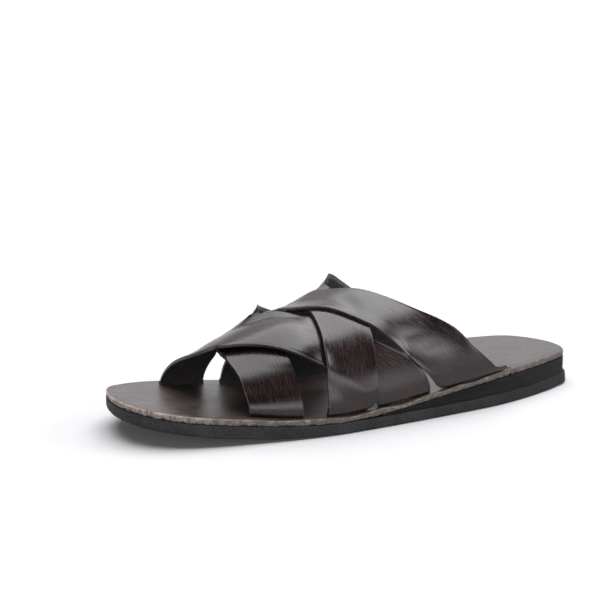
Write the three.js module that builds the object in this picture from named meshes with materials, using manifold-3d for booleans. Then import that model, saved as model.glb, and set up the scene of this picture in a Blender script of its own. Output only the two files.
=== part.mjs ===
// Flat slip-on sandal for a left foot, in millimetres: toe +X, outer side of the foot +Y, floor at z = 0.
// Four leather straps are woven over the instep and pass down through slots in a leather insole.
// The insole lies on a tapering heel lift and on a thin rubber outsole that turns up at the toe.
import * as THREE from 'three';
import ManifoldModule from 'manifold-3d';

const wasm = await ManifoldModule();
wasm.setup();

// Sole, all along the foot.
const LENGTH = 285;
const STATIONS = 52;
const LAYER_GAP = 0.3;

// Edge of the sole seen from above: how far along from the heel (0) to the toe (1), outer edge y, inner edge y.
const OUTLINE = [
  { along: 0.0, outer: 3.0, inner: 3.0 },
  { along: 0.015, outer: 17.0, inner: -15.0 },
  { along: 0.05, outer: 23.6, inner: -29.8 },
  { along: 0.11, outer: 31.8, inner: -37.4 },
  { along: 0.22, outer: 41.4, inner: -36.2 },
  { along: 0.36, outer: 46.4, inner: -31.0 },
  { along: 0.5, outer: 49.6, inner: -32.0 },
  { along: 0.62, outer: 51.0, inner: -40.8 },
  { along: 0.72, outer: 48.3, inner: -48.6 },
  { along: 0.8, outer: 44.3, inner: -51.0 },
  { along: 0.87, outer: 40.2, inner: -48.2 },
  { along: 0.93, outer: 33.8, inner: -40.8 },
  { along: 0.97, outer: 24.5, inner: -30.5 },
  { along: 0.992, outer: 13.5, inner: -15.0 },
  { along: 1.0, outer: 0.0, inner: 0.0 },
];

// Outsole: thickness at heel and forefoot, rise of the toe and of the heel's back edge, worn lower edge.
const OUTSOLE_HEEL = 6.3;
const OUTSOLE_FORE = 7.2;
const OUTSOLE_SWELL_FROM = 0.58;
const OUTSOLE_SWELL_TO = 0.8;
const TOE_SPRING = 11.5;
const TOE_SPRING_FROM = 0.585;
const TOE_SPRING_POWER = 1.94;
const HEEL_SPRING = 0.45;
const HEEL_SPRING_TO = 0.15;
const OUTSOLE_EDGE = 0.9;
const OUTSOLE_EDGE_TOE = 3.2;
const OUTSOLE_EDGE_TOE_FROM = 0.86;

// The heel's layers step out a little from the insole down to the floor, from the waist back.
const HEEL_FLARE = 1.7;
const HEEL_FLARE_FROM = 10;
const HEEL_FLARE_TO = -100;
const HEEL_UPRIGHT = 0.8;
const HEEL_UPRIGHT_FROM = -114;
const HEEL_UPRIGHT_TO = -136;

// Heel lift: full height under the heel, then an even taper with eased ends that runs out under the waist.
const LIFT_HEIGHT = 9.0;
const LIFT_TAPER_FROM = 0.215;
const LIFT_TAPER_TO = 0.55;
const LIFT_TAPER_EASE = [-18, -12, -6, 0, 6, 12, 18];
const LIFT_THINNEST = 0.6;

// Insole and the slots the straps go down through.
const INSOLE_THICK = 3.85;
const INSOLE_EDGE = 0.5;
const SLOT_CLEAR = 0.3;
const SLOT_INSET_OUTER = 5.0;
const SLOT_INSET_OUTER_TOE = 9.0;
const SLOT_INSET_OUTER_FROM = 48;
const SLOT_INSET_OUTER_TO = 82;
const SLOT_INSET_INNER = 6.5;
const SLOT_INSET_INNER_TOE = 12.5;
const SLOT_INSET_INNER_FROM = -10;
const SLOT_INSET_INNER_TO = 60;

// Straps.
const STRAP_THICK = 2.2;
const STRAP_FUSE = 0.5;
const STRAP_RAMP = 18;
const STRAP_RISE = 0.05;
const STRAP_ROWS = 44;
const STRAP_COLUMNS = 8;

// Room for the foot under the straps: x, height of the ridge above the insole, y of the ridge.
const INSTEP = [
  { x: -70, height: 44.75, ridge: -5 },
  { x: -35, height: 48.55, ridge: -10 },
  { x: 0, height: 54.95, ridge: -15 },
  { x: 30, height: 49.3, ridge: -4 },
  { x: 55, height: 42.5, ridge: 4 },
  { x: 78, height: 31.9, ridge: 7 },
  { x: 100, height: 22.35, ridge: 7.5 },
];
const INSTEP_BULGE = 1.7;
const INSTEP_BULGE_HEIGHT = 26;

// Squareness of the instep's outer and inner side at the rear and toward the toe.
const SIDE_FROM = 20;
const SIDE_TO = 80;
const OUTER_SIDE = [2.32, 2.42];
const INNER_SIDE = [2.23, 1.63];

// Straps: x of the front and rear edge at each share of the way over from the outer to the inner slot,
// how far the instep sinks there, and where, how widely and how far each stiff rear edge stands off it.
// The front strap lies low, so that the strap over it bridges a gap at its bend.
const WAY = [0, 0.1, 0.2, 0.3, 0.4, 0.5, 0.62, 0.75, 0.88, 1];
const INSTEP_SINK = [0, 0, 0, 0, 0.4, 1.8, 2.2, 1.6, 0.6, 0];
const INSTEP_SINK_FROM = -25;
const INSTEP_SINK_TO = 5;
const INSTEP_SINK_FADE = 46;
const INSTEP_SINK_END = 80;
const LOW_FROM = 0.14;
const LOW_FADE = 0.5;
const LOW_END = 0.66;
const STRAPS = [
  {
    name: 'front',
    over: 'rear',
    low: 2.6,
    front: [81, 82, 82.5, 83.5, 84, 83, 79, 64, 38, 22],
    rear: [53, 53.5, 54, 55, 55.5, 54.5, 48, 22.5, 2, -9],
    tip: { way: 0.6, outer: 0.045, inner: 0.11, rise: 5.6 },
  },
  {
    name: 'second',
    over: 'middle',
    front: [38, 37.5, 36, 33, 30.5, 29.5, 28.5, 19, -4, -24],
    rear: [7.5, 7, 5, 3, 2.5, 3.4, -7, -26, -44, -56],
    tip: { way: 0.54, outer: 0.045, inner: 0.17, rise: 6 },
  },
  {
    name: 'middle',
    over: 'front',
    front: [5, 24, 45, 61, 73.5, 85, 94, 95.5, 96, 97],
    rear: [-28, -19.5, 4, 18.5, 29.5, 43.8, 60.5, 66, 69, 70.5],
    tip: { way: 0.5, outer: 0.1, inner: 0.1, rise: 0 },
  },
  {
    name: 'rear',
    over: 'second',
    front: [-36, -18.8, -3, 12, 25, 43, 56, 58, 59, 60],
    rear: [-78, -61.5, -49.5, -29, -3.5, 13.5, 24.6, 25.5, 28, 30],
    tip: { way: 0.28, outer: 0.14, inner: 0.14, rise: 1.7 },
  },
];

const LEATHER_BROWN = 0x2b1d19;
const FOOTBED_BROWN = 0x4a3a33;
const RUBBER_BLACK = 0x1d1c1d;
const LIFT_BLACK = 0x201d1c;

// Smooth curve through (keys, values), flat-ended where it runs past the table.
function curve(keys, values, at) {
  const last = keys.length - 1;
  const t = Math.min(Math.max(at, keys[0]), keys[last]);
  let i = 0;
  while (i < last - 1 && t > keys[i + 1]) i += 1;
  const step = (k) => keys[k + 1] - keys[k];
  const slope = (k) => (values[k + 1] - values[k]) / step(k);
  const inside = (k) => (slope(k - 1) * step(k) + slope(k) * step(k - 1)) / (step(k) + step(k - 1));
  const tangent = (k) => {
    if (k === 0) return 2 * slope(0) - inside(1);
    if (k === last) return 2 * slope(last - 1) - inside(last - 1);
    return inside(k);
  };
  const u = (t - keys[i]) / step(i);
  const a = 2 * u ** 3 - 3 * u ** 2 + 1;
  const b = u ** 3 - 2 * u ** 2 + u;
  const c = -2 * u ** 3 + 3 * u ** 2;
  const d = u ** 3 - u ** 2;
  return a * values[i] + b * step(i) * tangent(i) + c * values[i + 1] + d * step(i) * tangent(i + 1);
}

function share(value, from, to) {
  return Math.min(Math.max((value - from) / (to - from), 0), 1);
}

function ease(t) {
  return t * t * (3 - 2 * t);
}

// Sole heights by x.
const along = (x) => x / LENGTH + 0.5;

function floorAt(x) {
  const toe = TOE_SPRING * share(along(x), TOE_SPRING_FROM, 1) ** TOE_SPRING_POWER;
  const heel = HEEL_SPRING * share(along(x), HEEL_SPRING_TO, 0) ** 2;
  return toe + heel;
}

function outsoleTop(x) {
  const swell = ease(share(along(x), OUTSOLE_SWELL_FROM, OUTSOLE_SWELL_TO));
  return floorAt(x) + OUTSOLE_HEEL + (OUTSOLE_FORE - OUTSOLE_HEEL) * swell;
}

function seatAt(x) {
  let taper = 0;
  for (const off of LIFT_TAPER_EASE) taper += share(along(x + off), LIFT_TAPER_TO, LIFT_TAPER_FROM);
  return outsoleTop(x) + (LIFT_HEIGHT * taper) / LIFT_TAPER_EASE.length;
}

const insoleTop = (x) => seatAt(x) + INSOLE_THICK;

// Sole edge by x. The round ends come from spacing the stations by angle.
const turn = (share01) => Math.acos(1 - 2 * Math.min(Math.max(share01, 0), 1)) / Math.PI;
const OUTLINE_KEYS = OUTLINE.map((row) => turn(row.along));
const OUTER_EDGE = OUTLINE.map((row) => row.outer);
const INNER_EDGE = OUTLINE.map((row) => row.inner);
const outerEdge = (x) => curve(OUTLINE_KEYS, OUTER_EDGE, turn(along(x)));
const innerEdge = (x) => curve(OUTLINE_KEYS, INNER_EDGE, turn(along(x)));

// Closed plan of the sole from one x to another: heel tip, outer edge to the toe, inner edge back.
function soleRing(fromX, toX) {
  const from = turn(along(fromX));
  const to = turn(along(toX));
  const outer = [];
  const inner = [];
  for (let i = 0; i <= STATIONS; i += 1) {
    const angle = from + ((to - from) * i) / STATIONS;
    const x = (0.5 - 0.5 * Math.cos(Math.PI * angle) - 0.5) * LENGTH;
    outer.push(new THREE.Vector2(x, curve(OUTLINE_KEYS, OUTER_EDGE, angle)));
    inner.push(new THREE.Vector2(x, curve(OUTLINE_KEYS, INNER_EDGE, angle)));
  }
  return { outer, inner };
}

// The plan drawn in by a distance, square to its edge. A squared-off front end stays where it is.
function drawnIn(ring, distance, squareFront) {
  const loop = [...ring.outer, ...ring.inner.slice(0, -1).reverse().slice(0, -1)];
  if (squareFront) loop.splice(ring.outer.length, 0, ring.inner[ring.inner.length - 1]);
  const n = loop.length;
  const moved = loop.map((p, i) => {
    const before = loop[(i + n - 1) % n];
    const after = loop[(i + 1) % n];
    const way = new THREE.Vector2().subVectors(after, before).normalize();
    const d = distance(p.x);
    return new THREE.Vector2(p.x + way.y * d, p.y - way.x * d);
  });
  const last = ring.outer.length - 1;
  const outer = moved.slice(0, last + 1);
  const inner = [moved[0]];
  const rest = moved.slice(last + 1).reverse();
  inner.push(...rest);
  if (!squareFront) inner.push(moved[last]);
  if (squareFront) {
    outer[last].x = ring.outer[last].x;
    inner[last].x = ring.inner[last].x;
  }
  return { outer, inner };
}

// One layer of the sole: the plan at several heights, each drawn in by its own distance.
function layerMesh(fromX, toX, levels, squareFront) {
  const base = soleRing(fromX, toX);
  const rings = levels.map((level) => {
    const ring = drawnIn(base, level.inset, squareFront);
    const lift = (p) => new THREE.Vector3(p.x, p.y, level.z(p.x));
    return { outer: ring.outer.map(lift), inner: ring.inner.map(lift) };
  });
  const points = [];
  const faces = [];
  const put = (p) => points.push(p) - 1;
  const index = rings.map((ring) => {
    const outer = ring.outer.map(put);
    const inner = ring.inner.map((p, i) => {
      const shared = i === 0 || (!squareFront && i === STATIONS);
      return shared ? outer[i] : put(p);
    });
    return { outer, inner };
  });
  const quad = (a, b, c, d) => {
    if (a !== b && b !== c && a !== c) faces.push([a, b, c]);
    if (a !== c && c !== d && a !== d) faces.push([a, c, d]);
  };
  for (let i = 0; i < STATIONS; i += 1) {
    const low = index[0];
    const high = index[index.length - 1];
    quad(low.outer[i], low.outer[i + 1], low.inner[i + 1], low.inner[i]);
    quad(high.outer[i], high.inner[i], high.inner[i + 1], high.outer[i + 1]);
    for (let k = 0; k + 1 < index.length; k += 1) {
      const a = index[k];
      const b = index[k + 1];
      quad(a.outer[i], b.outer[i], b.outer[i + 1], a.outer[i + 1]);
      quad(a.inner[i], a.inner[i + 1], b.inner[i + 1], b.inner[i]);
    }
  }
  if (squareFront) {
    for (let k = 0; k + 1 < index.length; k += 1) {
      const a = index[k];
      const b = index[k + 1];
      quad(a.outer[STATIONS], b.outer[STATIONS], b.inner[STATIONS], a.inner[STATIONS]);
    }
  }
  return solid(points, faces);
}

function solid(points, faces) {
  const vertProperties = new Float32Array(points.flatMap((p) => [p.x, p.y, p.z]));
  const triVerts = new Uint32Array(faces.flat());
  return new wasm.Manifold(new wasm.Mesh({ numProp: 3, vertProperties, triVerts }));
}

// Instep surface under the straps: x, share of the way over (0 outer slot, 1 inner slot), height above it.
const INSTEP_X = INSTEP.map((row) => row.x);
const INSTEP_HEIGHT = INSTEP.map((row) => row.height);
const INSTEP_RIDGE = INSTEP.map((row) => row.ridge);

function outerSlot(x) {
  const toe = share(x, SLOT_INSET_OUTER_FROM, SLOT_INSET_OUTER_TO) ** 1.3;
  return outerEdge(x) - SLOT_INSET_OUTER - (SLOT_INSET_OUTER_TOE - SLOT_INSET_OUTER) * toe;
}

function innerSlot(x) {
  const toe = ease(share(x, SLOT_INSET_INNER_FROM, SLOT_INSET_INNER_TO));
  return innerEdge(x) + SLOT_INSET_INNER + (SLOT_INSET_INNER_TOE - SLOT_INSET_INNER) * toe;
}

function instep(x, way, raised) {
  const sunk = ease(share(x, INSTEP_SINK_FROM, INSTEP_SINK_TO)) * ease(share(x, INSTEP_SINK_END, INSTEP_SINK_FADE));
  const above = raised - curve(WAY, INSTEP_SINK, way) * sunk;
  const height = curve(INSTEP_X, INSTEP_HEIGHT, x) + above;
  const ridge = curve(INSTEP_X, INSTEP_RIDGE, x);
  const outer = outerSlot(x) + above;
  const inner = innerSlot(x) - above;
  const cos = Math.cos(Math.PI * way);
  const sin = Math.max(Math.sin(Math.PI * way), 0);
  const front = share(x, SIDE_FROM, SIDE_TO);
  const side = cos > 0 ? OUTER_SIDE : INNER_SIDE;
  const power = 2 / (side[0] + (side[1] - side[0]) * front);
  const z = height * sin ** power;
  const bulge = INSTEP_BULGE * Math.sin(Math.PI * share(z, 0, INSTEP_BULGE_HEIGHT));
  const reach = cos > 0 ? outer - ridge : ridge - inner;
  const y = ridge + Math.sign(cos) * (reach * Math.abs(cos) ** power + bulge);
  return new THREE.Vector3(x, y, insoleTop(x) + z);
}

// How far one strap rides up on the strap it crosses, easing down past that strap's edges.
function liftOf(strap, x, way, depth) {
  if (depth === 0) return 0;
  const back = 1 - share(x, curve(WAY, strap.rear, way), curve(WAY, strap.front, way));
  const low = (strap.low ?? 0) * ease(share(way, 0, LOW_FROM)) * ease(share(way, LOW_END, LOW_FADE));
  const spread = way < strap.tip.way ? strap.tip.outer : strap.tip.inner;
  const tip = strap.tip.rise * Math.exp(-(((way - strap.tip.way) / spread) ** 2)) * back ** 4;
  const stand = tip - low;
  const under = STRAPS.find((other) => other.name === strap.over);
  const front = curve(WAY, under.front, way);
  const rear = curve(WAY, under.rear, way);
  const beyond = Math.max(x - front, rear - x, 0);
  const clearOfSlot = ease(share(Math.min(way, 1 - way), 0, STRAP_RISE));
  const cover = clearOfSlot * ease(1 - share(beyond, 0, STRAP_RAMP));
  if (cover === 0) return stand;
  return stand + cover * (STRAP_THICK - STRAP_FUSE + Math.max(liftOf(under, x, way, depth - 1), 0));
}

// One strap: a band over the instep whose ends go straight down into the insole.
function strapMesh(strap) {
  const points = [];
  const rows = [];
  const rowAt = (way, drop) => {
    const front = curve(WAY, strap.front, way);
    const rear = curve(WAY, strap.rear, way);
    const row = { under: [], over: [] };
    for (let j = 0; j <= STRAP_COLUMNS; j += 1) {
      const x = rear + ((front - rear) * j) / STRAP_COLUMNS;
      const lift = liftOf(strap, x, way, 3);
      const under = instep(x, way, lift);
      const over = instep(x, way, lift + STRAP_THICK);
      under.z -= drop;
      over.z -= drop;
      row.under.push(points.push(under) - 1);
      row.over.push(points.push(over) - 1);
    }
    rows.push(row);
  };
  const drop = INSOLE_THICK - LAYER_GAP / 2;
  rowAt(0, drop);
  for (let i = 0; i <= STRAP_ROWS; i += 1) rowAt(i / STRAP_ROWS, 0);
  rowAt(1, drop);
  return solid(points, bandFaces(rows, STRAP_COLUMNS));
}

// Faces of a band given by rows of points on its underside and on its top.
function bandFaces(rows, columns) {
  const faces = [];
  const quad = (a, b, c, d) => faces.push([a, c, b], [a, d, c]);
  for (let i = 0; i + 1 < rows.length; i += 1) {
    const a = rows[i];
    const b = rows[i + 1];
    for (let j = 0; j < columns; j += 1) {
      quad(a.over[j], a.over[j + 1], b.over[j + 1], b.over[j]);
      quad(a.under[j], b.under[j], b.under[j + 1], a.under[j + 1]);
    }
    quad(a.under[0], a.over[0], b.over[0], b.under[0]);
    quad(a.under[columns], b.under[columns], b.over[columns], a.over[columns]);
  }
  const first = rows[0];
  const last = rows[rows.length - 1];
  for (let j = 0; j < columns; j += 1) {
    quad(first.under[j], first.under[j + 1], first.over[j + 1], first.over[j]);
    quad(last.under[j], last.over[j], last.over[j + 1], last.under[j + 1]);
  }
  return faces;
}

// Slot in the insole: the strap's end grown by the clearance, right through the insole.
function slotMesh(strap, way) {
  const points = [];
  const rows = [];
  const front = curve(WAY, strap.front, way) + SLOT_CLEAR;
  const rear = curve(WAY, strap.rear, way) - SLOT_CLEAR;
  const levels = way === 0 ? [-INSOLE_THICK - 2, 4] : [4, -INSOLE_THICK - 2];
  for (const level of levels) {
    const row = { under: [], over: [] };
    for (let j = 0; j <= STRAP_COLUMNS; j += 1) {
      const x = rear + ((front - rear) * j) / STRAP_COLUMNS;
      const lift = liftOf(strap, x, way, 3);
      const under = instep(x, way, lift - SLOT_CLEAR);
      const over = instep(x, way, lift + STRAP_THICK + SLOT_CLEAR + (level > 0 ? 1.5 : 0));
      under.z = insoleTop(x) + level;
      over.z = insoleTop(x) + level;
      row.under.push(points.push(under) - 1);
      row.over.push(points.push(over) - 1);
    }
    rows.push(row);
  }
  return solid(points, bandFaces(rows, STRAP_COLUMNS));
}

function meshOf(manifold, name, colour, roughness) {
  const made = manifold.getMesh();
  const geometry = new THREE.BufferGeometry();
  geometry.setAttribute('position', new THREE.BufferAttribute(new Float32Array(made.vertProperties), 3));
  geometry.setIndex(new THREE.BufferAttribute(new Uint32Array(made.triVerts), 1));
  geometry.computeVertexNormals();
  const material = new THREE.MeshStandardMaterial({ color: colour, roughness, metalness: 0 });
  const mesh = new THREE.Mesh(geometry, material);
  mesh.name = name;
  return mesh;
}

// Outsole.
const heelX = -LENGTH / 2;
const toeX = LENGTH / 2;
const none = () => 0;
const flare = (part) => (x) => {
  const upright = 1 - HEEL_UPRIGHT * ease(share(x, HEEL_UPRIGHT_FROM, HEEL_UPRIGHT_TO));
  return HEEL_FLARE * part * ease(share(x, HEEL_FLARE_FROM, HEEL_FLARE_TO)) * upright;
};
const wornEdge = (x) => {
  const toe = share(along(x), OUTSOLE_EDGE_TOE_FROM, 1);
  return OUTSOLE_EDGE + (OUTSOLE_EDGE_TOE - OUTSOLE_EDGE) * toe;
};
const outsole = layerMesh(heelX, toeX, [
  { inset: wornEdge, z: (x) => floorAt(x) },
  { inset: none, z: (x) => floorAt(x) + wornEdge(x) },
  { inset: flare(0.35), z: (x) => outsoleTop(x) - LAYER_GAP / 2 },
], false);

// Heel lift.
const liftLeft = (LIFT_THINNEST + LAYER_GAP) / LIFT_HEIGHT;
const liftEnd = LIFT_TAPER_TO - (LIFT_TAPER_TO - LIFT_TAPER_FROM) * liftLeft;
const heelLift = layerMesh(heelX, (liftEnd - 0.5) * LENGTH, [
  { inset: flare(0.4), z: (x) => outsoleTop(x) + LAYER_GAP / 2 },
  { inset: flare(0.9), z: (x) => seatAt(x) - LAYER_GAP / 2 },
], true);

// Insole with its eight slots.
let insole = layerMesh(heelX, toeX, [
  { inset: flare(1), z: (x) => seatAt(x) + LAYER_GAP / 2 },
  { inset: flare(1), z: (x) => insoleTop(x) - INSOLE_EDGE },
  { inset: (x) => flare(1)(x) + INSOLE_EDGE, z: (x) => insoleTop(x) },
], false);
for (const strap of STRAPS) {
  insole = insole.subtract(slotMesh(strap, 0));
  insole = insole.subtract(slotMesh(strap, 1));
}

// Upper: the four woven straps, joined where they cross.
let upper = strapMesh(STRAPS[0]);
for (const strap of STRAPS.slice(1)) upper = upper.add(strapMesh(strap));

const sandal = new THREE.Group();
sandal.name = 'sandal';
sandal.add(meshOf(outsole, 'outsole', RUBBER_BLACK, 0.85));
sandal.add(meshOf(heelLift, 'heel_lift', LIFT_BLACK, 0.8));
sandal.add(meshOf(insole, 'insole', FOOTBED_BROWN, 0.6));
sandal.add(meshOf(upper, 'upper', LEATHER_BROWN, 0.45));

export default sandal;
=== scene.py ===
import math

import bmesh
import bpy
from mathutils import Matrix, Vector, noise


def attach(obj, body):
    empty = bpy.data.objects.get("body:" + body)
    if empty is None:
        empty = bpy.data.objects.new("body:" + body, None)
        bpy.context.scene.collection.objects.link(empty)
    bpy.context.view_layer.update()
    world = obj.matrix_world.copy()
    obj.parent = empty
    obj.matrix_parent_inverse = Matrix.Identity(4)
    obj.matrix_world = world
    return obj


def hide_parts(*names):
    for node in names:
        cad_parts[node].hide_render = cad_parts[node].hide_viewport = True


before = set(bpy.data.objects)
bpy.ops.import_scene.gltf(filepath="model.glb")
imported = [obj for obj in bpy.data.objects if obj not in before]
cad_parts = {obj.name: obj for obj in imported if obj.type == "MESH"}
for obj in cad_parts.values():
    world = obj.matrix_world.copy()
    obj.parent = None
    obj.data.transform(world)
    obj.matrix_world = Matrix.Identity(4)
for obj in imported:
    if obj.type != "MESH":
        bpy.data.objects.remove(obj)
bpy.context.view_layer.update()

# Outsole: one sheet of charcoal rubber, cut to the outline of a left foot and turned up at the toe.
# It is glued under the heel lift and the insole.
# Its side is buffed to a fine stipple, and its lower edge is worn round.
MM = 0.001
SOLE_LENGTH = 285.0
EDGE_ALONG = (0, 0.015, 0.05, 0.11, 0.22, 0.36, 0.5, 0.62, 0.72, 0.8, 0.87, 0.93, 0.97, 0.992, 1)
EDGE_OUTER = (3, 17, 23.6, 31.8, 41.4, 46.4, 49.6, 51, 48.3, 44.3, 40.2, 33.8, 24.5, 13.5, 0)
EDGE_INNER = (3, -15, -29.8, -37.4, -36.2, -31, -32, -40.8, -48.6, -51, -48.2, -40.8, -30.5, -15, 0)
OUTSOLE_HEEL = 6.3
OUTSOLE_FORE = 7.2
OUTSOLE_SWELL = (0.58, 0.8)
TOE_SPRING = 11.5
TOE_SPRING_FROM = 0.585
TOE_SPRING_POWER = 1.94
HEEL_SPRING = 0.45
HEEL_SPRING_FROM = 0.15
WORN_EDGE = 0.9
WORN_TOE = 3.2
WORN_TOE_FROM = 0.86
LAYER_GAP = 0.3
SPINE_END = 34.0
TURN_STEP = 0.002
HEEL_FLARE = 1.7
HEEL_FLARE_X = (10, -100)
HEEL_UPRIGHT = 0.8
HEEL_UPRIGHT_X = (-114, -136)
HEEL_LIP = 1.2
HEEL_LIP_X = (-105, -138)
HEEL_LIP_TAPER = 0.2
SIDE_FLARE = 0.3
STIPPLE_DEPTH = 0.06
STIPPLE_PER_MM = 0.12
STIPPLE_LEVELS = 4
TOP_EDGE = 0.4
TOP_EDGE_INSET = 0.15
TOP_EDGE_DROP = 0.12
TOP_INSET = 0.5
TOP_FLARE = 0.35
UNDER_RINGS = (1, 0.66, 0.33, 0.1, 0)
WORN_RINGS = (0.33, 0.66)
SIDE_RINGS = (0, 0.2, 0.4, 0.6, 0.8, 1)
TOP_RINGS = (0, 0.1, 0.4, 0.7, 1)
SOLE_STATIONS = 360
WELD = 0.02
SLIVER = 0.005
RUBBER = (0.0085, 0.0083, 0.0088, 1)
RUBBER_DUST = (0.027, 0.0264, 0.027, 1)


def share(value, start, end):
    """How far a value has come from a start to an end, from 0 to 1."""
    return min(max((value - start) / (end - start), 0.0), 1.0)


def ease(t):
    """The same share, with a gentle start and end."""
    return t * t * (3 - 2 * t)


def curve(keys, values, at):
    """Smooth curve through the values at the keys."""
    last = len(keys) - 1
    t = min(max(at, keys[0]), keys[last])
    i = 0
    while i < last - 1 and t > keys[i + 1]:
        i += 1
    step = keys[i + 1] - keys[i]

    def slope(k):
        return (values[k + 1] - values[k]) / (keys[k + 1] - keys[k])

    def inside(k):
        before, after = keys[k] - keys[k - 1], keys[k + 1] - keys[k]
        return (slope(k - 1) * after + slope(k) * before) / (before + after)

    def tangent(k):
        if k == 0:
            return 2 * slope(0) - inside(1)
        if k == last:
            return 2 * slope(last - 1) - inside(last - 1)
        return inside(k)

    u = (t - keys[i]) / step
    rise = 3 * u ** 2 - 2 * u ** 3
    leave = u ** 3 - 2 * u ** 2 + u
    arrive = u ** 3 - u ** 2
    return (values[i] * (1 - rise) + values[i + 1] * rise
            + step * (leave * tangent(i) + arrive * tangent(i + 1)))


def along(x):
    """Share of the sole's length, from the heel."""
    return x / SOLE_LENGTH + 0.5


def half_turn(part):
    """Share of a half turn round the outline that reaches a share of the length."""
    return math.acos(1 - 2 * min(max(part, 0.0), 1.0)) / math.pi


EDGE_TURNS = [half_turn(part) for part in EDGE_ALONG]


def outer_edge(x):
    return curve(EDGE_TURNS, EDGE_OUTER, half_turn(along(x)))


def inner_edge(x):
    return curve(EDGE_TURNS, EDGE_INNER, half_turn(along(x)))


def floor_at(x):
    """Height of the outsole's underside."""
    toe = TOE_SPRING * share(along(x), TOE_SPRING_FROM, 1) ** TOE_SPRING_POWER
    heel = HEEL_SPRING * share(along(x), HEEL_SPRING_FROM, 0) ** 2
    return toe + heel


def outsole_top(x):
    swell = ease(share(along(x), *OUTSOLE_SWELL))
    return floor_at(x) + OUTSOLE_HEEL + (OUTSOLE_FORE - OUTSOLE_HEEL) * swell


def rim_point(turn):
    """Point of the outline: heel at 0, along the outer edge to the toe at 0.5, and back along the inner."""
    turn %= 1.0
    angle = 2 * turn if turn <= 0.5 else 2 - 2 * turn
    edge = EDGE_OUTER if turn <= 0.5 else EDGE_INNER
    x = -0.5 * math.cos(math.pi * angle) * SOLE_LENGTH
    return Vector((x, curve(EDGE_TURNS, edge, angle), 0))


def sole_point(turn, inset, middle):
    """Outline point drawn in by a distance, then led a share of the way to the sole's middle line."""
    rim = rim_point(turn)
    way = (rim_point(turn + TURN_STEP) - rim_point(turn - TURN_STEP)).normalized()
    at = rim + Vector((way.y, -way.x, 0)) * inset
    spine_reach = 0.5 * SOLE_LENGTH - SPINE_END
    spine_x = min(max(rim.x, -spine_reach), spine_reach)
    spine = Vector((spine_x, 0.5 * (outer_edge(spine_x) + inner_edge(spine_x)), 0))
    return at.lerp(spine, middle)


def flare(turn, part):
    """Part of the heel's outward slope that a level is drawn in by, which is least at the upright back.

    It is none at the floor and all of it at the insole.
    """
    x = rim_point(turn).x
    slope = HEEL_FLARE * part * ease(share(x, *HEEL_FLARE_X))
    return slope * (1 - HEEL_UPRIGHT * ease(share(x, *HEEL_UPRIGHT_X)))


def even(distance, part):
    """Inset of one distance all round, with a part of the heel's slope."""
    return lambda turn: distance + flare(turn, part)


def worn(x):
    """How far the outsole's lower edge is worn round."""
    return WORN_EDGE + (WORN_TOE - WORN_EDGE) * share(along(x), WORN_TOE_FROM, 1)


def heel_lip(turn):
    """How far the outsole stands out behind the heel."""
    return HEEL_LIP * ease(share(rim_point(turn).x, *HEEL_LIP_X))


def only(kind, geometry):
    """The vertices, or the edges, among what a bmesh operator made."""
    return [item for item in geometry if isinstance(item, kind)]


def sole_layer(profile, stations):
    """Runs a profile round the outline: each step is (inset, share to the middle, height, side, low)."""
    layer = bmesh.new()
    turn_of = layer.verts.layers.float.new("turn")
    side_of = layer.verts.layers.float.new("side")
    low_of = layer.verts.layers.float.new("low")
    ring = bmesh.ops.create_circle(layer, cap_ends=False, segments=stations, radius=1)["verts"]
    for v in ring:
        v[turn_of] = (math.atan2(v.co.y, v.co.x) / (2 * math.pi)) % 1.0
    edges = layer.edges[:]
    for count, (inset, middle, height, side, low) in enumerate(profile):
        if count:
            made = bmesh.ops.extrude_edge_only(layer, edges=edges)["geom"]
            ring = only(bmesh.types.BMVert, made)
            edges = [edge for edge in only(bmesh.types.BMEdge, made) if edge.is_boundary]
        for v in ring:
            at = sole_point(v[turn_of], inset(v[turn_of]), middle)
            at.z = height(at.x, v[turn_of])
            v.co = at * MM
            v[side_of] = side
            v[low_of] = low
    bmesh.ops.remove_doubles(layer, verts=layer.verts, dist=WELD * MM)
    bmesh.ops.dissolve_degenerate(layer, edges=layer.edges, dist=SLIVER * MM)
    bmesh.ops.recalc_face_normals(layer, faces=layer.faces)
    return layer


def shade(layer, sharp):
    """Smooth faces, with a crease along edges that turn by more than so many degrees."""
    for face in layer.faces:
        face.smooth = True
    for edge in layer.edges:
        edge.smooth = not edge.is_manifold or edge.calc_face_angle() <= math.radians(sharp)


def finished(layer, name, materials, sharp=40):
    """Turns a bmesh into a shaded object."""
    shade(layer, sharp)
    mesh = bpy.data.meshes.new(name)
    layer.to_mesh(mesh)
    layer.free()
    for material in materials:
        mesh.materials.append(material)
    piece = bpy.data.objects.new(name, mesh)
    bpy.context.scene.collection.objects.link(piece)
    return piece


def connect(tree, node, inputs):
    """Sets a node's sockets: values are written onto them, and other nodes' outputs are linked to them."""
    for socket, value in inputs.items():
        if isinstance(value, bpy.types.NodeSocket):
            tree.links.new(value, node.inputs[socket])
        else:
            node.inputs[socket].default_value = value


def put(tree, kind, inputs=None, **settings):
    """Adds a node with its settings and inputs."""
    node = tree.nodes.new(kind)
    for key, value in settings.items():
        setattr(node, key, value)
    connect(tree, node, inputs or {})
    return node


def grain_noise(tree, vector, scale, stretch=(1, 1, 1), detail=3.0, rough=0.55):
    """Noise of so many features per metre, packed closer along an axis by its stretch."""
    mapped = put(tree, "ShaderNodeMapping", {"Vector": vector, "Scale": stretch}).outputs["Vector"]
    inputs = {"Vector": mapped, "Scale": scale, "Detail": detail, "Roughness": rough}
    return put(tree, "ShaderNodeTexNoise", inputs).outputs["Fac"]


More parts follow.
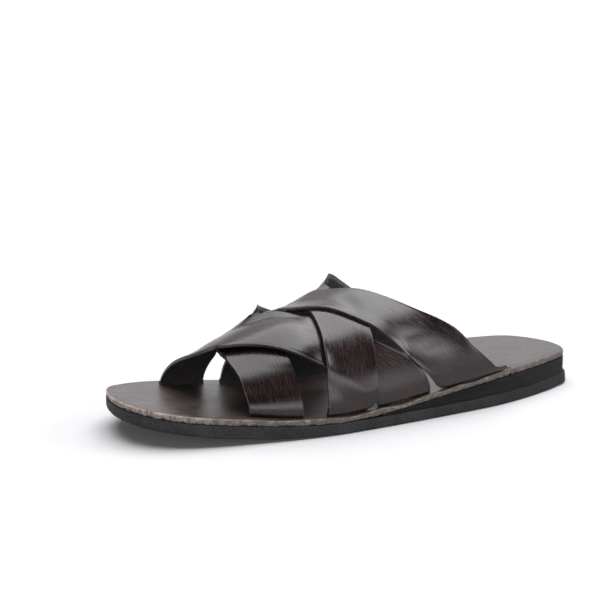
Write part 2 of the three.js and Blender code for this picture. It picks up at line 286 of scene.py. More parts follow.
def ramp(tree, value, low, high, to_low=0.0, to_high=1.0):
    """Eased change from one level to another, while a value goes from a low limit to a high one."""
    inputs = {"Value": value, "From Min": low, "From Max": high, "To Min": to_low, "To Max": to_high}
    return put(tree, "ShaderNodeMapRange", inputs, interpolation_type="SMOOTHSTEP").outputs["Result"]


def chain(tree, operation, parts):
    """Works through the parts with one operation, from the first to the last."""
    total = parts[0]
    for part in parts[1:]:
        total = put(tree, "ShaderNodeMath", {0: total, 1: part}, operation=operation).outputs["Value"]
    return total


def plus(tree, *parts):
    return chain(tree, "ADD", parts)


def times(tree, *parts):
    return chain(tree, "MULTIPLY", parts)


def blend(tree, factor, first, second):
    """Colour that goes from the first to the second; the colour sockets of the node are 6, 7 and out 2."""
    return put(tree, "ShaderNodeMix", {0: factor, 6: first, 7: second}, data_type="RGBA").outputs[2]


def raised(tree, height, distance, strength, under=None):
    """Bumps of a height in metres, over any that lie under them."""
    inputs = {"Height": height, "Distance": distance, "Strength": strength}
    if under is not None:
        inputs["Normal"] = under
    return put(tree, "ShaderNodeBump", inputs).outputs["Normal"]


def new_finish(name):
    material = bpy.data.materials.new(name)
    material.use_nodes = True
    tree = material.node_tree
    return material, tree, tree.nodes["Principled BSDF"]


def outsole_profile():
    def underside(x, turn):
        return floor_at(x)

    def worn_height(part):
        lift = 1 - math.cos(part * math.pi / 2)
        return lambda x, turn: floor_at(x) + worn(x) * lift

    def worn_inset(part):
        edge = 1 - math.sin(part * math.pi / 2)
        return lambda turn: worn(rim_point(turn).x) * edge - heel_lip(turn) * (1 - edge)

    def side_height(part):
        def height(x, turn):
            foot = floor_at(x) + worn(x)
            head = outsole_top(x) - LAYER_GAP / 2 - TOP_EDGE
            return foot + (head - foot) * part
        return height

    def side_inset(part):
        def inset(turn):
            at = rim_point(turn)
            lip = heel_lip(turn) * (1 - HEEL_LIP_TAPER * part)
            spot = Vector((at.x * STIPPLE_PER_MM, at.y * STIPPLE_PER_MM, part * STIPPLE_LEVELS))
            stipple = STIPPLE_DEPTH + STIPPLE_DEPTH * noise.noise(spot)
            return flare(turn, SIDE_FLARE * part) - lip + stipple
        return inset

    def top(x, turn):
        return outsole_top(x) - LAYER_GAP / 2

    def top_edge(x, turn):
        return top(x, turn) - TOP_EDGE_DROP

    steps = [(worn_inset(0), middle, underside, 0, 1) for middle in UNDER_RINGS]
    steps += [(worn_inset(part), 0, worn_height(part), 1, 1) for part in WORN_RINGS]
    steps += [(side_inset(part), 0, side_height(part), 1, 1 - part) for part in SIDE_RINGS]
    steps += [(even(TOP_EDGE_INSET, TOP_FLARE), 0, top_edge, 1, 0)]
    steps += [(even(TOP_INSET, TOP_FLARE), middle, top, 0, 0) for middle in TOP_RINGS]
    return steps


rubber, tree, shader = new_finish("outsole_rubber")
place = put(tree, "ShaderNodeTexCoord").outputs["Object"]
lengthwise = put(tree, "ShaderNodeSeparateXYZ", {0: place}).outputs["X"]
stipple = grain_noise(tree, place, scale=1500, detail=2)
pits = put(tree, "ShaderNodeTexVoronoi", {"Vector": place, "Scale": 950.0}).outputs["Distance"]
cloud = grain_noise(tree, place, scale=60)
# Pale dust in the stipple. Towards the heel the dust fades out as painted shade, so the heel's rubber is
# darker.
dust_and_heel_shade = ramp(tree, plus(tree, stipple, times(tree, cloud, 0.5)), 0.55, 0.95)
dust_and_heel_shade = times(tree, dust_and_heel_shade, ramp(tree, lengthwise, -0.12, 0.0, to_low=0.3))
pitted = raised(tree, pits, distance=0.0004, strength=0.5)
connect(tree, shader, {
    "Base Color": blend(tree, dust_and_heel_shade, RUBBER, RUBBER_DUST),
    "Roughness": 0.72,
    "Specular IOR Level": 0.18,
    "Normal": raised(tree, stipple, distance=0.0006, strength=0.6, under=pitted),
})

outsole = finished(sole_layer(outsole_profile(), SOLE_STATIONS), "outsole_rubber", [rubber])
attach(outsole, "root")
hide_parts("outsole")

# Heel lift: a black fibre-rubber wedge, full height under the heel and skived away under the waist.
# It is glued between outsole and insole, and its cut side shows the fine level lines of the sheet.
LIFT_HEIGHT = 9.35
LIFT_TAPER = (0.55, 0.215)
LIFT_TAPER_EASE = (-18, -12, -6, 0, 6, 12, 18)
LIFT_FRONT = 4.7
LIFT_THINNEST = 0.3
LIFT_INSET = 0.9
LIFT_FLARE_BOTTOM = 0.5
LIFT_FLARE_SIDE = 0.6
LIFT_FLARE_TOP = 0.9
LIFT_RINGS = (1, 0.6, 0.2, 0)
LIFT_ROWS = 18
LINE_INSET = 0.28
LINE_DEPTH = 0.24
LINES_PER_MM = 1.3
LINE_WAVES_PER_MM = 0.03
LIFT_BLACK = (0.0022, 0.0021, 0.0023, 1)
LIFT_GREY = (0.009, 0.0088, 0.0094, 1)


def seat_at(x):
    """Height of the seat that the insole lies on."""
    taper = [share(along(x + off), *LIFT_TAPER) for off in LIFT_TAPER_EASE]
    return outsole_top(x) + LIFT_HEIGHT * sum(taper) / len(taper)


def lift_profile():
    def bottom(x, turn):
        return outsole_top(x) + LAYER_GAP / 2

    def top(x, turn):
        return max(seat_at(x) - LAYER_GAP / 2, bottom(x, turn) + LIFT_THINNEST)

    def side_height(part):
        return lambda x, turn: bottom(x, turn) + (top(x, turn) - bottom(x, turn)) * part

    def side_inset(part):
        def inset(turn):
            at = rim_point(turn)
            level = side_height(part)(at.x, turn)
            spot = Vector((at.x * LINE_WAVES_PER_MM, at.y * LINE_WAVES_PER_MM, level * LINES_PER_MM))
            slope = flare(turn, LIFT_FLARE_SIDE + (LIFT_FLARE_TOP - LIFT_FLARE_SIDE) * part)
            return slope + LINE_INSET + LINE_DEPTH * noise.noise(spot)
        return inset

    rows = [k / LIFT_ROWS for k in range(LIFT_ROWS + 1)]
    steps = [(even(LIFT_INSET, LIFT_FLARE_BOTTOM), middle, bottom, 0, 1) for middle in LIFT_RINGS]
    steps += [(side_inset(part), 0, side_height(part), 1, 1 - part) for part in rows]
    steps += [(even(LIFT_INSET, LIFT_FLARE_TOP), middle, top, 0, 0) for middle in reversed(LIFT_RINGS)]
    return steps


lift_black, tree, shader = new_finish("lift_black")
place = put(tree, "ShaderNodeTexCoord").outputs["Object"]
broad = grain_noise(tree, place, scale=55, stretch=(1, 1, 26), detail=4, rough=0.6)
fine = grain_noise(tree, place, scale=140, stretch=(1, 1, 22), detail=2)
lines = plus(tree, times(tree, broad, 0.65), times(tree, fine, 0.35))
connect(tree, shader, {
    "Base Color": blend(tree, ramp(tree, lines, 0.42, 0.66), LIFT_BLACK, LIFT_GREY),
    "Roughness": 0.6,
    "Specular IOR Level": 0.12,
    "Normal": raised(tree, lines, distance=0.0011, strength=0.9),
})

lift_mesh = sole_layer(lift_profile(), SOLE_STATIONS)
everything = lift_mesh.verts[:] + lift_mesh.edges[:] + lift_mesh.faces[:]
cut = bmesh.ops.bisect_plane(lift_mesh, geom=everything, clear_outer=True,
                             plane_co=(LIFT_FRONT * MM, 0, 0), plane_no=(1, 0, 0))["geom_cut"]
bmesh.ops.holes_fill(lift_mesh, edges=only(bmesh.types.BMEdge, cut))
bmesh.ops.recalc_face_normals(lift_mesh, faces=lift_mesh.faces)
heel_lift = finished(lift_mesh, "heel_wedge", [lift_black])
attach(heel_lift, "root")
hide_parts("heel_lift")

# Insole: thick vegetable-tanned leather, dark satin brown on the footbed and raw tan on its cut edge.
# It is glued down all over, and a groove is pressed round the footbed just inside its rim.
# Eight slots near the rim let the ends of the straps through.
INSOLE_THICK = 3.85
INSOLE_INSET = 0.8
INSOLE_RINGS = (1, 0.6, 0.2, 0)
INSOLE_ROWS = 8
INSOLE_STATIONS = 720
LEATHER_SHARP = 50
FRAY_INSET = 0.25
FRAY_DEPTH = 0.22
FRAYS_PER_MM = 0.35
FRAY_LEVELS = 2.5
RIM_UNDERCUT = 0.35
RIM_ROUND = 0.9
RIM_WAVE = 0.15
RIM_WAVE_MORE = 0.7
RIM_WAVE_REAR = (-100, -50)
RIM_WAVE_FRONT = (60, 20)
RIM_WAVES_PER_MM = (0.075, 0.03)
RIM_WAVE_SLICE = 3.1
RIM_PRESSED = (
    {"x": -58, "reach": 28, "rise": -0.9},
    {"x": -12, "reach": 20, "rise": -1.0},
    {"x": 27, "reach": 16, "rise": -0.8},
    {"x": 67, "reach": 20, "rise": -0.6},
    {"x": -85, "reach": 6, "rise": 1.5},
)
RIM_STEPS = (
    {"inset": 0.3, "drop": 0.62, "wave": 1, "side": 1},
    {"inset": 0.5, "drop": 0.36, "wave": 1, "side": 0.9},
    {"inset": 0.8, "drop": 0.16, "wave": 1, "side": 0.3},
    {"inset": 1.05, "drop": 0.06, "wave": 1, "side": 0},
    {"inset": 1.3, "drop": 0, "wave": 0.9, "side": 0},
    {"inset": 2.3, "drop": 0, "wave": 0.7, "side": 0},
    {"inset": 2.75, "drop": 0.16, "wave": 0.65, "side": 0},
    {"inset": 3.2, "drop": 0, "wave": 0.6, "side": 0},
    {"inset": 4.6, "drop": 0, "wave": 0.4, "side": 0},
    {"inset": 7, "drop": 0, "wave": 0.1, "side": 0},
)
BED_INSET = 7
BED_RINGS = (0.12, 0.3, 0.5, 0.7, 0.85, 1)
FOOTBED = (0.032, 0.021, 0.0175, 1)
FOOTBED_DARK = (0.013, 0.008, 0.0065, 1)
FOOTBED_WORN = (0.055, 0.041, 0.036, 1)
RAW_EDGE = (0.27, 0.212, 0.18, 1)
# Pale tan for random blotches, and for the painted highlight along the top of the cut edge.
RAW_EDGE_PALE_AND_HIGHLIGHT = (0.42, 0.345, 0.295, 1)
RAW_EDGE_BURNT = (0.07, 0.053, 0.045, 1)


def rim_wave(x, turn):
    """Rise and fall of the insole's edge: pressed down beside the straps, lifted behind the rear slot."""
    rim = rim_point(turn)
    beside = ease(share(x, *RIM_WAVE_REAR)) * ease(share(x, *RIM_WAVE_FRONT))
    spot = Vector((rim.x * RIM_WAVES_PER_MM[0], rim.y * RIM_WAVES_PER_MM[1], RIM_WAVE_SLICE))
    wave = (RIM_WAVE + RIM_WAVE_MORE * beside) * noise.noise(spot)
    if turn > 0.5:
        return wave
    for pressed in RIM_PRESSED:
        wave += pressed["rise"] * ease(1 - share(abs(rim.x - pressed["x"]), 0, pressed["reach"]))
    return wave


def insole_top(x):
    return seat_at(x) + INSOLE_THICK


def insole_profile():
    def bottom(x, turn):
        return seat_at(x) + LAYER_GAP / 2

    def side_height(part):
        def height(x, turn):
            head = insole_top(x) - RIM_ROUND + rim_wave(x, turn)
            return bottom(x, turn) + (head - bottom(x, turn)) * part
        return height

    def side_inset(part):
        def inset(turn):
            at = rim_point(turn) * FRAYS_PER_MM
            fray = noise.noise(Vector((at.x, at.y, part * FRAY_LEVELS)))
            return flare(turn, 1) + FRAY_INSET + FRAY_DEPTH * fray + RIM_UNDERCUT * (1 - part) ** 3
        return inset

    def top(drop, wave):
        return lambda x, turn: insole_top(x) - drop + wave * rim_wave(x, turn)

    rows = [k / INSOLE_ROWS for k in range(INSOLE_ROWS + 1)]
    steps = [(even(INSOLE_INSET, 1), middle, bottom, 0, 1) for middle in INSOLE_RINGS]
    steps += [(side_inset(part), 0, side_height(part), 1, 1 - part) for part in rows]
    steps += [(even(step["inset"], 1), 0, top(step["drop"], step["wave"]), step["side"], 0)
              for step in RIM_STEPS]
    steps += [(even(BED_INSET, 1), middle, top(0, 0), 0, 0) for middle in BED_RINGS]
    return steps


insole_leather, tree, shader = new_finish("insole_leather")
place = put(tree, "ShaderNodeTexCoord").outputs["Object"]
lengthwise = put(tree, "ShaderNodeSeparateXYZ", {0: place}).outputs["X"]
side = put(tree, "ShaderNodeAttribute", attribute_name="side").outputs["Fac"]
low = put(tree, "ShaderNodeAttribute", attribute_name="low").outputs["Fac"]

stain = grain_noise(tree, place, scale=24, stretch=(1, 1.6, 1), detail=4)
brushed = grain_noise(tree, place, scale=150, stretch=(1, 5, 1), detail=4)
pores = grain_noise(tree, place, scale=1700, detail=2)
tone = blend(tree, ramp(tree, stain, 0.35, 0.62), FOOTBED_DARK, FOOTBED)
tone = blend(tree, ramp(tree, brushed, 0.5, 0.8, to_high=0.6), tone, FOOTBED_WORN)

fibre = grain_noise(tree, place, scale=900, stretch=(1, 1, 0.45), rough=0.6)
blotch = grain_noise(tree, place, scale=130)
fleck = grain_noise(tree, place, scale=240, stretch=(1, 1, 1.6), detail=4, rough=0.6)
ragged_noise = grain_noise(tree, place, scale=300)
raw = blend(tree, ramp(tree, fibre, 0.36, 0.62), RAW_EDGE_BURNT, RAW_EDGE)
# Pale blotches at random, plus a painted highlight that makes the cut edge paler towards its top.
pale_and_top_highlight = plus(tree, times(tree, blotch, 0.6), times(tree, low, -0.25))
raw = blend(tree, ramp(tree, pale_and_top_highlight, 0.2, 0.42), raw, RAW_EDGE_PALE_AND_HIGHLIGHT)
burnt = times(tree, ramp(tree, lengthwise, 0.08, 0.14, to_low=1, to_high=0.2),
              ramp(tree, fleck, 0.36, 0.56, to_low=0.62))
raw = blend(tree, burnt, raw, RAW_EDGE_BURNT)
# The cut edge turns as dark as the rubber towards its bottom, along a ragged line.
dark_bottom = plus(tree, low, times(tree, plus(tree, ragged_noise, -0.5), 1.7))
raw = blend(tree, ramp(tree, dark_bottom, 0.82, 0.92), raw, RUBBER)

dull = plus(tree, times(tree, stain, 0.3), 0.2, ramp(tree, brushed, 0.45, 0.72, to_high=0.12),
            times(tree, side, 0.4))
skin = raised(tree, brushed, distance=0.0002, strength=0.4)
skin = raised(tree, pores, distance=0.0001, strength=0.35, under=skin)
frayed = times(tree, fibre, side)
connect(tree, shader, {
    "Base Color": blend(tree, ramp(tree, side, 0.35, 0.75), tone, raw),
    "Roughness": dull,
    "Normal": raised(tree, frayed, distance=0.0012, strength=0.9, under=skin),
})

insole_mesh = sole_layer(insole_profile(), INSOLE_STATIONS)
insole = finished(insole_mesh, "slotted_insole", [insole_leather], LEATHER_SHARP)
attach(insole, "root")
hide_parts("insole")

# Straps: four bands of espresso leather, about 30 mm wide and 2 mm thick, woven across the instep.
# Each end passes straight down through a slot of the insole and is glued beneath.
# The cut edges are inked dark, and the flesh side is left rough.
STRAP_THICK = 2.0
STRAP_WIDTH = 30
STRAP_AIR = 0.06
STRAP_RAMP = {"start": 0, "run": 18.0}
STRAP_RISE = 0.05
STRAP_END = 0.03
STRAP_BEVEL = 0.35
STRAP_ROWS = 170
STRAP_COLUMNS = 28
ROWS_CLOSER = 0.8
MIDDLE_STEPS = 60
PILE_DEPTH = 4
COVER_FADE = 0.12
TIP_POWER = 1.7
CURL_POWER = 8
CURL_STARTS = (0.03, 0.12)
CURL_ENDS = (0.48, 0.38)
LOW_STARTS = (0, 0.14)
LOW_ENDS = (0.66, 0.5)
FLAP_FULL = 0.7
SLOT_CLEAR = 0.3
SLOT_COLUMNS = 24
SLOT_TALL = 6
SLOT_BELOW = 1
OUTER_SLOT_INSET = 5
OUTER_SLOT_MORE = 4
OUTER_SLOT_X = (48, 82)
OUTER_SLOT_POWER = 1.3
INNER_SLOT_INSET = 6.5
INNER_SLOT_MORE = 6
INNER_SLOT_X = (-10, 60)
INSTEP_X = (-70, -35, 0, 30, 55, 78, 100)
INSTEP_HEIGHT = (44.75, 48.55, 54.95, 49.3, 42.5, 31.9, 22.35)
INSTEP_RIDGE = (-5, -10, -15, -4, 4, 7, 7.5)
INSTEP_BULGE = 1.7
INSTEP_BULGE_HEIGHT = 26
OUTER_SIDE = (2.32, 2.42)
INNER_SIDE = (2.23, 1.63)
SIDE_CHANGE_X = (20, 80)
WAY = (0, 0.1, 0.2, 0.3, 0.4, 0.5, 0.62, 0.75, 0.88, 1)
INSTEP_SINK = (0, 0, 0, 0, 0.4, 1.8, 2.2, 5.0, 2.4, 0)
SINK_REAR_X = (-25, 5)
SINK_FRONT_X = (80, 46)
# Front and rear give x of a strap's edges at the shares of its way in WAY, from outer to inner slot.
# Over names the straps beneath it, and the share of the way up to which it lies on each.
STRAPS = {
    "strap_front": {
        "over": {"strap_rear": 1},
        "front": (81, 82, 82.5, 83.5, 84, 83, 79, 64, 38, 22),
        "rear": (53, 53.5, 54, 55, 55.5, 54.5, 48, 22.5, 2, -9),
        "tip": {"way": 0.6, "outer": 0.032, "inner": 0.11, "rise": 6.0, "power": 4},
        "low": 2.6,
    },
    "strap_second": {
        "over": {"strap_middle": 1},
        "front": (38, 37.5, 36, 33, 30.5, 29.5, 28.5, 19, -4, -24),
        "rear": (7.5, 7, 5, 3, 2.5, 3.4, -7.0, -26, -44, -56),
        "tip": {"way": 0.54, "outer": 0.03, "inner": 0.2, "rise": 6.8, "power": 4},
        "curl": 0.8,
        "round": {"rear": 8.5, "front": 0, "until": 0.03},
    },
    "strap_middle": {
        "over": {"strap_front": 1},
        "front": (5, 24, 45, 61, 73.5, 85, 94, 95.5, 96, 97),
        "rear": (-28, -19.5, 4, 18.5, 29.5, 43.8, 60.5, 66, 69, 70.5),
        "ramp": {"start": -6, "run": 18},
    },
    "strap_rear": {
        "over": {"strap_second": 1, "strap_middle": 0.3},
        "front": (-36, -18.8, -3, 12, 25, 43, 56, 58, 59, 60),
        "rear": (-78, -61.5, -49.5, -29, -3.5, 13.5, 24.6, 25.5, 28, 30),
        "tip": {"way": 0.28, "outer": 0.14, "inner": 0.14, "rise": 1.7, "power": 3},
        "ramp": {"start": 0, "run": 40},
        "flap": {"back": 7.0, "until": 0.017, "slot": 2.2},
        "round": {"rear": 0, "front": 5.5, "until": 0.01},
    },
}
UP = Vector((0, 0, 1))
LEATHER = (0.0058, 0.0025, 0.0024, 1)
LEATHER_RED = (0.0115, 0.0040, 0.0037, 1)
LEATHER_BLACK = (0.0032, 0.0017, 0.0016, 1)
EDGE_INK = (0.020, 0.0165, 0.0155, 1)
FLESH = (0.016, 0.0105, 0.0095, 1)


def outer_slot(x):
    return outer_edge(x) - OUTER_SLOT_INSET - OUTER_SLOT_MORE * share(x, *OUTER_SLOT_X) ** OUTER_SLOT_POWER


def inner_slot(x):
    return inner_edge(x) + INNER_SLOT_INSET + INNER_SLOT_MORE * ease(share(x, *INNER_SLOT_X))


def instep(x, way, above):
    """Surface of the instep, raised by a height: way is 0 at the outer slot and 1 at the inner slot."""
    sink = curve(WAY, INSTEP_SINK, way) * ease(share(x, *SINK_REAR_X)) * ease(share(x, *SINK_FRONT_X))
    above -= sink
    height = curve(INSTEP_X, INSTEP_HEIGHT, x) + above
    ridge = curve(INSTEP_X, INSTEP_RIDGE, x)
    cos, sin = math.cos(math.pi * way), max(math.sin(math.pi * way), 0.0)
    near = OUTER_SIDE if cos > 0 else INNER_SIDE
    power = 2 / (near[0] + (near[1] - near[0]) * share(x, *SIDE_CHANGE_X))
    z = height * sin ** power
    bulge = INSTEP_BULGE * math.sin(math.pi * math.sqrt(share(z, 0, INSTEP_BULGE_HEIGHT)))
    reach = outer_slot(x) + above - ridge if cos > 0 else ridge - inner_slot(x) + above
    y = ridge + math.copysign(reach * abs(cos) ** power + bulge, cos)
    return Vector((x, y, insole_top(x) + z))


def stand_of(strap, x, way):
    """How far a stiff strap stands off the instep: raised at its tip, curled at its rear edge, or low."""
    back = 1 - share(x, curve(WAY, strap["rear"], way), curve(WAY, strap["front"], way))
    stand = 0.0
    if "tip" in strap:
        tip = strap["tip"]
        spread = tip["outer"] if way < tip["way"] else tip["inner"]
        bell = math.exp(-abs((way - tip["way"]) / spread) ** TIP_POWER)
        stand += tip["rise"] * bell * back ** tip["power"]
    if "curl" in strap:
        curl = strap["curl"] * back ** CURL_POWER
        stand += curl * ease(share(way, *CURL_STARTS)) * ease(share(way, *CURL_ENDS))
    if "low" in strap:
        stand -= strap["low"] * ease(share(way, *LOW_STARTS)) * ease(share(way, *LOW_ENDS))
    return stand


def lift_of(name, x, way, depth=PILE_DEPTH):
    """How far a strap lies above the instep: its own stand and its ride on the straps that it crosses."""
    if depth == 0:
        return 0.0
    strap = STRAPS[name]
    slope = strap.get("ramp", STRAP_RAMP)
    ride = 0.0
    for other, until in strap["over"].items():
        under = STRAPS[other]
        ahead = x - curve(WAY, under["front"], way)
        behind = curve(WAY, under["rear"], way) + slope["start"] - x
        cover = ease(share(min(way, 1 - way), 0, STRAP_RISE))
        cover *= ease(1 - share(max(ahead, behind, 0), 0, slope["run"]))
        if until < 1:
            cover *= ease(share(way, until, until - COVER_FADE))
        if cover > 0:
            pile = STRAP_THICK + STRAP_AIR + max(lift_of(other, x, way, depth - 1), 0)
            ride = max(ride, cover * pile)
    return stand_of(strap, x, way) + ride


def strap_point(name, way, across, level, drop):
    """Point of a strap, across from rear to front, level from back to grain, dropped into its slot."""
    strap = STRAPS[name]
    rear = curve(WAY, strap["rear"], way)
    front = curve(WAY, strap["front"], way)
    if "round" in strap:
        corner = 1 - math.sqrt(1 - (1 - share(way, 0, strap["round"]["until"])) ** 2)
        rear += strap["round"]["rear"] * corner
        front -= strap["round"]["front"] * corner
    if "flap" in strap:
        until = strap["flap"]["until"]
        rear -= strap["flap"]["back"] * ease(share(way, until, FLAP_FULL * until))
    x = rear + (front - rear) * across
    at = instep(x, way, lift_of(name, x, way) + STRAP_THICK * level)
    at.z -= drop
    return at


def way_at(length):
    """Way over the instep by share of the band's rows, which lie closer together near the slots."""
    t = share(length, STRAP_END, 1 - STRAP_END)
    return t - ROWS_CLOSER * math.sin(2 * math.pi * t) / (2 * math.pi)


def strap_band(name):
    """The band as a grid along and across, given its thickness, then laid over the instep."""
    band = bmesh.new()
    bmesh.ops.create_grid(band, x_segments=STRAP_ROWS, y_segments=STRAP_COLUMNS, size=0.5)
    grown = bmesh.ops.extrude_face_region(band, geom=band.faces[:])["geom"]
    bmesh.ops.translate(band, verts=only(bmesh.types.BMVert, grown), vec=UP)
    bmesh.ops.recalc_face_normals(band, faces=band.faces)
    along_of = band.verts.layers.float.new("along")
    across_of = band.verts.layers.float.new("across")
    grain_map = band.loops.layers.uv.new("strap")
    for face in band.faces:
        face.material_index = 1 - round(face.normal.z)
    rim = [edge for edge in band.edges if len({face.material_index for face in edge.link_faces}) > 1]

    middle = [strap_point(name, way_at(k / MIDDLE_STEPS), 0.5, 1, 0) for k in range(MIDDLE_STEPS + 1)]
    reach = [0.0]
    for before, after in zip(middle, middle[1:]):
        reach.append(reach[-1] + (after - before).length)
    for v in band.verts:
        length, across, level = v.co.x + 0.5, v.co.y + 0.5, v.co.z
        past = max(STRAP_END - length, length - 1 + STRAP_END, 0) / STRAP_END
        drop = past * (INSOLE_THICK - LAYER_GAP / 2)
        v.co = strap_point(name, way_at(length), across, level, drop) * MM
        k = min(int(length * MIDDLE_STEPS), MIDDLE_STEPS - 1)
        v[along_of] = (reach[k] + (reach[k + 1] - reach[k]) * (length * MIDDLE_STEPS - k)) * MM
        v[across_of] = (across - 0.5) * STRAP_WIDTH * MM

    bmesh.ops.bevel(band, geom=rim, offset=STRAP_BEVEL * MM, segments=2, profile=0.5,
                    affect="EDGES", material=-1)
    half_width = 0.5 * STRAP_WIDTH * MM
    for face in band.faces:
        for loop in face.loops:
            far = min(max(loop.vert[along_of], 0), reach[-1] * MM)
            loop[grain_map].uv = (far, min(max(loop.vert[across_of], -half_width), half_width))
    return band


grain, tree, shader = new_finish("strap_leather")
place = put(tree, "ShaderNodeTexCoord").outputs["Object"]
on_strap = put(tree, "ShaderNodeUVMap", uv_map="strap").outputs["UV"]
mottle = grain_noise(tree, place, scale=38, detail=4)
pore = grain_noise(tree, place, scale=2200, detail=2)
wrinkle = grain_noise(tree, on_strap, scale=150, stretch=(9, 1, 1))
scratch = grain_noise(tree, on_strap, scale=90, stretch=(22, 0.7, 1), detail=4, rough=0.65)
brush = grain_noise(tree, on_strap, scale=130, stretch=(1, 9, 1), detail=4, rough=0.6)
tone = blend(tree, ramp(tree, mottle, 0.38, 0.66), LEATHER, LEATHER_RED)
tone = blend(tree, ramp(tree, scratch, 0.55, 0.75, to_high=0.5), tone, LEATHER_BLACK)
dull = plus(tree, times(tree, mottle, 0.1), 0.15, ramp(tree, scratch, 0.5, 0.72, to_high=0.08),
            ramp(tree, brush, 0.42, 0.7, to_high=0.15))
bumps = raised(tree, brush, distance=0.0001, strength=0.4)
bumps = raised(tree, wrinkle, distance=0.0005, strength=0.04, under=bumps)
bumps = raised(tree, pore, distance=0.0001, strength=0.12, under=bumps)
connect(tree, shader, {
    "Base Color": tone,
    "Roughness": dull,
    "Specular IOR Level": 0.42,
    "Normal": bumps,
})

ink, tree, shader = new_finish("strap_edge_ink")
place = put(tree, "ShaderNodeTexCoord").outputs["Object"]
layers = grain_noise(tree, place, scale=420)
connect(tree, shader, {
    "Base Color": blend(tree, ramp(tree, layers, 0.4, 0.7), EDGE_INK, LEATHER),
    "Roughness": 0.5,
    "Normal": raised(tree, layers, distance=0.0004, strength=0.4),
})

flesh, tree, shader = new_finish("strap_flesh")
place = put(tree, "ShaderNodeTexCoord").outputs["Object"]
nap = grain_noise(tree, place, scale=650)
connect(tree, shader, {
    "Base Color": blend(tree, ramp(tree, nap, 0.35, 0.7), LEATHER_BLACK, FLESH),
    "Roughness": 0.85,
    "Normal": raised(tree, nap, distance=0.0006, strength=0.5),
})

for name in STRAPS:
    strap = finished(strap_band(name), name, [grain, ink, flesh], LEATHER_SHARP)
    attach(strap, "root")
    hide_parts("upper")

# The insole's slots are cut last, because each follows the end of its strap.
slots = bmesh.new()
for name, strap in STRAPS.items():
    for way in (0, 1):
        made = bmesh.ops.create_grid(slots, x_segments=SLOT_COLUMNS, y_segments=1, size=0.5)["verts"]
        faces = [face for face in slots.faces if set(made).issuperset(face.verts)]
        top = only(bmesh.types.BMVert, bmesh.ops.extrude_face_region(slots, geom=faces)["geom"])
        bmesh.ops.translate(slots, verts=top, vec=UP)
        for v in made + top:
            across, out, high = v.co.x + 0.5, v.co.y + 0.5, v.co.z
            grow = SLOT_CLEAR * (2 * across - 1)
            if "flap" in strap and way == 0 and across == 0:
                grow -= strap["flap"]["slot"]
            at = strap_point(name, way, across, out + SLOT_CLEAR / STRAP_THICK * (2 * out - 1), 0)
            v.co = Vector((at.x + grow, at.y, at.z + SLOT_TALL * high - INSOLE_THICK - SLOT_BELOW)) * MM
bmesh.ops.recalc_face_normals(slots, faces=slots.faces)
cutter = finished(slots, "slot_cutter", [insole_leather])
cutting = insole.modifiers.new("slots", "BOOLEAN")
cutting.operation = "DIFFERENCE"
cutting.solver = "EXACT"
cutting.object = cutter
slotted = bmesh.new()
slotted.from_mesh(insole.evaluated_get(bpy.context.evaluated_depsgraph_get()).to_mesh())
insole.modifiers.clear()
bpy.data.objects.remove(cutter)
shade(slotted, LEATHER_SHARP)
slotted.to_mesh(insole.data)
slotted.free()

# Floor: a plain white table top that runs out of sight behind the sandal.
# It carries only the soft shadow under the sole.
TABLE_HALF = 15
TABLE_DROP = 0.0002
TABLE_WHITE = (0.45, 0.45, 0.45, 1)
ground = bmesh.new()
bmesh.ops.create_grid(ground, x_segments=1, y_segments=1, size=TABLE_HALF)
bmesh.ops.translate(ground, verts=ground.verts, vec=(0, 0, -TABLE_DROP))
table, tree, shader = new_finish("table_white")
connect(tree, shader, {"Base Color": TABLE_WHITE, "Roughness": 0.9, "Specular IOR Level": 0.1})
finished(ground, "table", [table])

# Light: a wide softbox overhead, brighter to the right, and a smaller and lower one far to the right.
# The walls are pale low down, most of all by the camera, so upright leather keeps its dark middle.
# Only the far wall is pale all over. All of these are drawn as patches of a dim sky.
SKY_DIM = 0.03
OVERHEAD = 5.3
OVERHEAD_SLANT = 0.4
RIGHT_BOX = 6.2
LOW_WALL = 1.0
FRONT_WALL = 2.9
FAR_WALL = 1.05
COOL_WHITE = (0.97, 0.97, 1.0, 1)
CAMERA_SIDE = Vector((0.4724, 0.8522, 0.2250))
to_camera = Vector((CAMERA_SIDE.x, CAMERA_SIDE.y, 0)).normalized()
to_right = UP.cross(to_camera)
world = bpy.data.worlds.new("studio")
bpy.context.scene.world = world
world.use_nodes = True
tree = world.node_tree
towards = put(tree, "ShaderNodeTexCoord").outputs["Generated"]


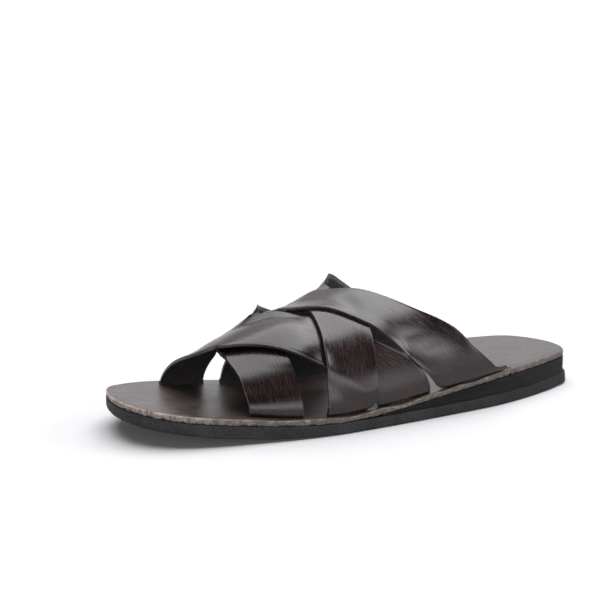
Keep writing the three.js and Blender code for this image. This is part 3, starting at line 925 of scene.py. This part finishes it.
def facing(way):
    """How squarely a direction of the sky faces a given way."""
    return put(tree, "ShaderNodeVectorMath", {0: towards, 1: way}, operation="DOT_PRODUCT").outputs["Value"]


def patch(*fades):
    """Patch of the sky: each fade is (facing, from, to), then the light at each end if not 0 and 1."""
    return times(tree, *(ramp(tree, *fade) for fade in fades))


near, right, up = facing(to_camera), facing(to_right), facing(UP)
slanted = plus(tree, right, times(tree, near, OVERHEAD_SLANT))
overhead = patch(
    (slanted, 0.48, 0.58, OVERHEAD, 0),
    (right, -0.54, -0.40),
    (right, -0.2, 0.45, 0.85, 1.3),
    (up, 0.58, 0.70),
    (near, 0.4, 0.62, 1, 0),
    (near, -0.7, -0.2, 0.72, 0.95),
)
right_box = patch(
    (right, 0.74, 0.82, 0, RIGHT_BOX),
    (up, 0.60, 0.70, 1, 0),
    (up, 0.15, 0.5),
    (near, 0.02, 0.26, 1, 0.04),
)
low_wall = plus(tree, ramp(tree, near, 0.2, 0.7, to_high=FRONT_WALL), LOW_WALL)
low_wall = times(tree, low_wall, ramp(tree, up, 0.20, 0.42, to_low=1, to_high=0))
far_wall = patch((near, -0.85, -0.45, FAR_WALL, 0), (right, -0.25, 0.08, 0.7, 1.12))
walls = chain(tree, "MAXIMUM", (low_wall, far_wall))
connect(tree, tree.nodes["Background"], {
    "Color": COOL_WHITE,
    "Strength": plus(tree, overhead, right_box, walls, SKY_DIM),
})

# Camera: a long lens on the outer toe side, a little above the sandal.
# Its place, aim and lens were fitted to the sandal's outline in the photo.
EYE = Vector((0.6820, 1.1779, 0.3756))
LENS = 149.31
SENSOR = 36
FARTHEST = 60
camera = bpy.data.objects.new("camera", bpy.data.cameras.new("camera"))
camera.data.lens = LENS
camera.data.sensor_width = SENSOR
camera.data.clip_end = FARTHEST
across = UP.cross(CAMERA_SIDE).normalized()
camera.matrix_world = Matrix((across, CAMERA_SIDE.cross(across), CAMERA_SIDE)).transposed().to_4x4()
camera.location = EYE
bpy.context.scene.collection.objects.link(camera)
bpy.context.scene.camera = camera
bpy.context.scene.view_settings.view_transform = "Standard"
